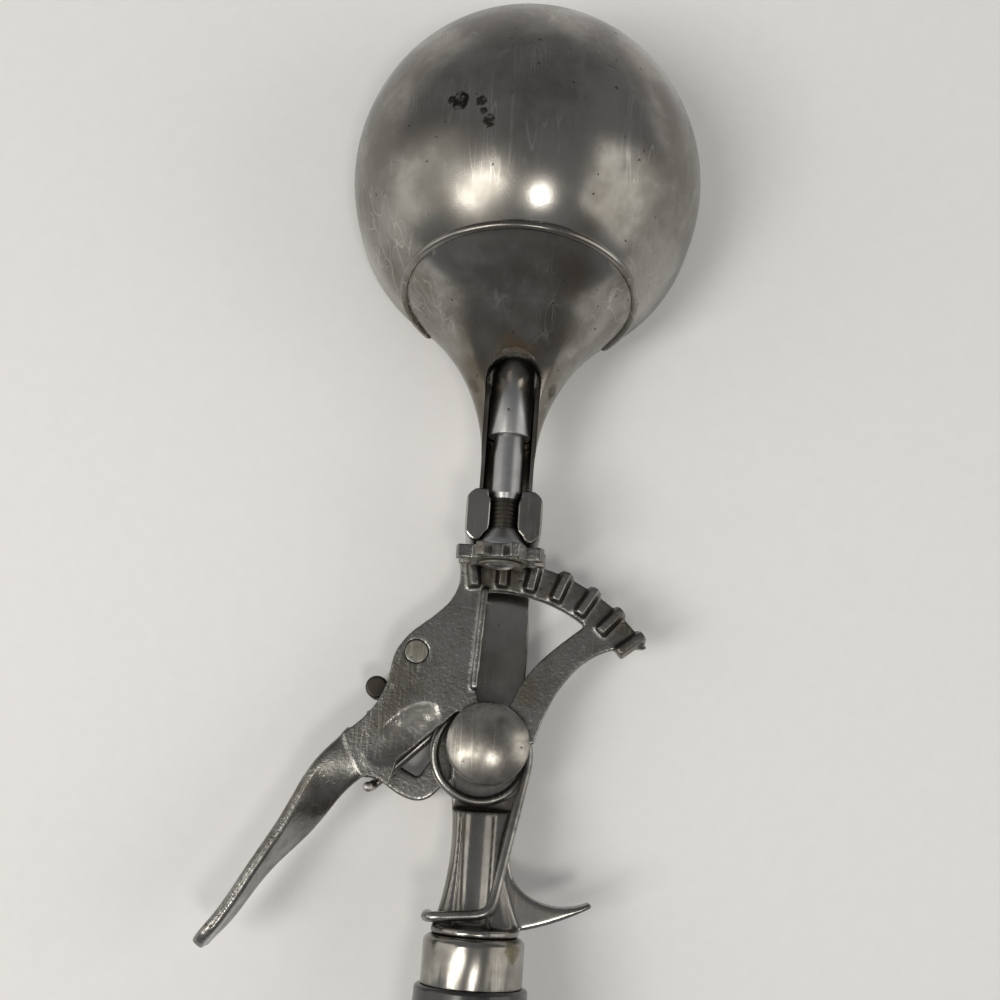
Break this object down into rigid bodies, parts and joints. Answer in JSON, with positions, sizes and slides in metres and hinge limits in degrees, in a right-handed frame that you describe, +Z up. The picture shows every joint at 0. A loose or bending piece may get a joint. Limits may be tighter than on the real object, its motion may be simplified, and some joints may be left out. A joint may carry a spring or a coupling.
{
  "type": "ice cream scoop",
  "caption": "Lever ice cream scoop: squeezing the thumb lever turns a toothed sector and pinion that sweep a scraper band round the inside of the bowl.",
  "frame": {"origin": "centre of the flat butt of the handle", "axes": "+Y along the handle towards the bowl, +Z up towards the bowl's domed back, +X to the finger hook"},
  "size_m": [0.0889, 0.2853, 0.0599],
  "materials": {
    "bowl_nickel": "worn satin nickel plate",
    "collar_nickel": "worn nickel plate",
    "cast_nickel": "nickel plated casting",
    "lever_nickel": "nickel plated casting, worn",
    "cap_nickel": "satin nickel plate",
    "ferrule_nickel": "polished nickel plate",
    "shaft_steel": "turned",
    "pin_steel": "satin",
    "spring_wire": "drawn wire",
    "dark_steel": "blackened",
    "black_grip": "black lacquer"
  },
  "bodies": {
    "handle": {"grip": "black_grip", "ferrule": "ferrule_nickel", "frame": "cast_nickel", "pivot_post": "pin_steel", "pivot_cap": "cap_nickel", "pivot_washer": "pin_steel", "torsion_spring": "spring_wire", "bowl": "bowl_nickel", "bowl_collar": "collar_nickel", "tip_pin": "pin_steel"},
    "lever": {"rack_lever": "lever_nickel", "lower_cheek": "lever_nickel", "cheek_rivet": "pin_steel", "lever_stud": "dark_steel"},
    "scraper": {"scraper_blade": "bowl_nickel", "scraper_shaft": "shaft_steel", "shaft_sleeve": "shaft_steel", "pinion": "lever_nickel", "pinion_washer": "pin_steel", "thrust_collar": "shaft_steel", "grooved_bush": "dark_steel"}
  },
  "joints": [
    {"name": "lever_swing", "type": "hinge", "parent": "handle", "child": "lever", "pos_m": [0, 0.14, 0], "axis": [0, 0, 1], "range_deg": [0, 40], "stiffness_Nm_per_rad": 0.6, "springref_deg": -22.92, "deforming": ["torsion_spring"]},
    {"name": "scraper_spin", "type": "hinge", "parent": "handle", "child": "scraper", "pos_m": [0, 0.17575, 0.013], "axis": [0, 1, 0], "range_deg": [0, 180.2]}
  ],
  "couplings": [
    {"joint": "scraper_spin", "follows": "lever_swing", "ratio": 4.5}
  ]
}
